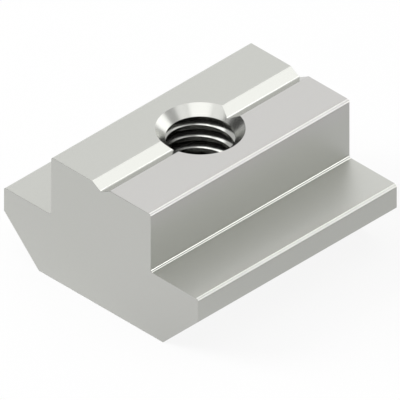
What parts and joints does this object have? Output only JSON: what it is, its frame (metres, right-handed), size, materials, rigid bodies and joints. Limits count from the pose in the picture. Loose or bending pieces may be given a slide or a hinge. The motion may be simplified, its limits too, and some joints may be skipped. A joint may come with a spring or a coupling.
{
  "type": "t slot nut",
  "caption": "T-shaped steel nut for a 10 mm profile slot, with an M6 through thread, countersunk ends and a centring groove along its top.",
  "frame": {"origin": "middle of the underside, on the axis of the threaded hole", "axes": "+Y along the slot, +Z out of the slot along the thread's axis, +X across the wings"},
  "size_m": [0.0196, 0.02, 0.0105],
  "materials": {
    "plated_steel": "satin"
  },
  "bodies": {
    "root": {"slot_nut": "plated_steel"}
  },
  "joints": []
}
